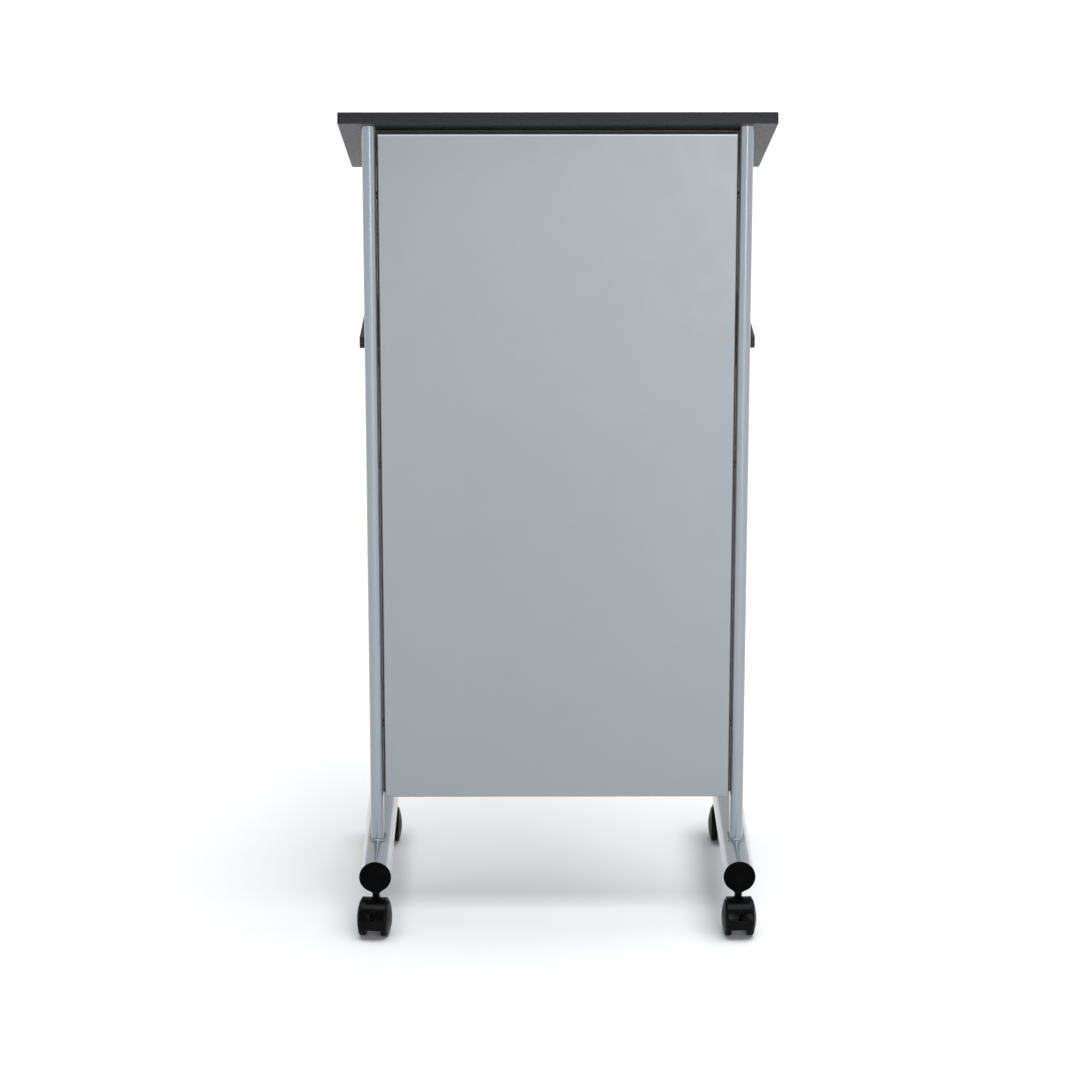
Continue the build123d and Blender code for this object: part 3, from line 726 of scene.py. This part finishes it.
def arm_welds():
    """Upright beads where each arm meets the back of its post."""
    bm = bmesh.new()
    for side in ("left", "right"):
        post_low, post_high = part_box(side + "_post")
        x = (post_low.x + post_high.x) / 2
        y = post_high.y - ARM_BEAD_BACK
        for arm, fall in (("shelf_arm", 0.0), ("top_arm", BOARD_FALL)):
            low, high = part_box(f"{side}_{arm}")
            reach = (high.x - low.x) / 2 + ARM_BEAD_GAP
            top = high.z - fall * (y - low.y) - ARM_BEAD_DROP
            step = ARM_BEAD_LENGTHS[arm] / ARM_BEAD_STEPS
            for way in (-1.0, 1.0):
                path = [Vector((x + way * reach, y, top - step * i)) for i in range(ARM_BEAD_STEPS + 1)]
                normals = [Vector((way, 1.0, 0.0)).normalized()] * len(path)
                bead(bm, path, normals, ARM_BEAD_RADIUS, False)
    finish_piece(bm, "arm_weld_beads", "silver_powder_coat", "frame", BEAD_SHARP)


def mouldings():
    """Hoods, brake levers, arm caps and edge bands with rounded edges."""
    for node in sorted(frame["nodes"]):
        for ending, width in EDGE_ROUNDS.items():
            if node.endswith(ending):
                shape = softened(node, width)
                finish_piece(shape, node + "_moulded", slot_of[node], body_of(node), MOULDED_SHARP, [node])


# Studio

def studio():
    bpy.ops.mesh.primitive_grid_add(x_subdivisions=FLOOR_CELLS, y_subdivisions=FLOOR_CELLS, size=FLOOR_SIZE)
    floor = bpy.context.object
    floor.name = "studio_floor"
    floor.data.materials.append(floor_material())


def sky():
    """White to look at. As light it is a dimmer soft grey, with a bright backdrop low behind the object."""
    world = bpy.data.worlds.new("studio_sky")
    bpy.context.scene.world = world
    world.use_nodes = True
    tree = world.node_tree
    light = next(n for n in tree.nodes if n.type == "BACKGROUND")
    light.inputs["Color"].default_value = rgba(SKY_COLOUR)
    direction = axes(tree)
    behind = spread(tree, direction["Y"], *BACKDROP_BEHIND)
    low = spread(tree, direction["Z"], *BACKDROP_LOW)
    strength = spread(tree, multiply(tree, behind, low), 0.0, 1.0, SKY_STRENGTH, BACKDROP_STRENGTH)
    tree.links.new(strength, light.inputs["Strength"])
    backdrop = tree.nodes.new("ShaderNodeBackground")
    backdrop.inputs["Color"].default_value = rgba(WHITE)
    ray = tree.nodes.new("ShaderNodeLightPath")
    mix = tree.nodes.new("ShaderNodeMixShader")
    out = next(n for n in tree.nodes if n.type == "OUTPUT_WORLD")
    tree.links.new(ray.outputs["Is Camera Ray"], mix.inputs["Fac"])
    tree.links.new(light.outputs["Background"], mix.inputs[1])
    tree.links.new(backdrop.outputs["Background"], mix.inputs[2])
    tree.links.new(mix.outputs["Shader"], out.inputs["Surface"])


def overhead():
    """Wide overhead light that whitens the whole floor and leaves upright faces alone."""
    lamp = bpy.data.lights.new("overhead_light", "SUN")
    lamp.energy = OVERHEAD_STRENGTH
    lamp.angle = math.radians(OVERHEAD_SPREAD)
    piece = bpy.data.objects.new("overhead_light", lamp)
    piece.rotation_euler = [math.radians(angle) for angle in OVERHEAD_LEAN]
    bpy.context.scene.collection.objects.link(piece)


def softbox(name, size, power, at, aim):
    """Rectangular soft light at a point, aimed at another."""
    lamp = bpy.data.lights.new(name, "AREA")
    lamp.shape = "RECTANGLE"
    lamp.size, lamp.size_y = size
    lamp.energy = power
    piece = bpy.data.objects.new(name, lamp)
    piece.location = at
    piece.rotation_euler = (Vector(aim) - Vector(at)).to_track_quat("-Z", "Y").to_euler()
    piece.visible_camera = False
    bpy.context.scene.collection.objects.link(piece)


def lights():
    middle = (cad_low + cad_high) / 2
    overhead()
    softbox("front_softbox", *FRONT_SOFTBOX, middle)
    softbox("strip_softbox", *STRIP_SOFTBOX, middle)


def camera():
    lens = bpy.data.cameras.new("photo_camera")
    lens.lens = CAMERA_LENS
    lens.sensor_width = CAMERA_SENSOR
    lens.clip_end = CAMERA_REACH
    piece = bpy.data.objects.new("photo_camera", lens)
    piece.location = (CAMERA_ASIDE, -CAMERA_DISTANCE, CAMERA_HEIGHT)
    piece.rotation_euler = (math.radians(90.0 - CAMERA_PITCH), 0.0, math.radians(-CAMERA_YAW))
    bpy.context.scene.collection.objects.link(piece)
    bpy.context.scene.camera = piece
    bpy.context.scene.view_settings.view_transform = "Standard"


for name, piece in frame["nodes"].items():
    paint(piece, slot_of[name])
frame["nodes"]["panel_spacers"].data.materials[0] = DULL_ZINC

all_screws()
tube_caps()
foot_welds()
arm_welds()
mouldings()
studio()
sky()
lights()
camera()
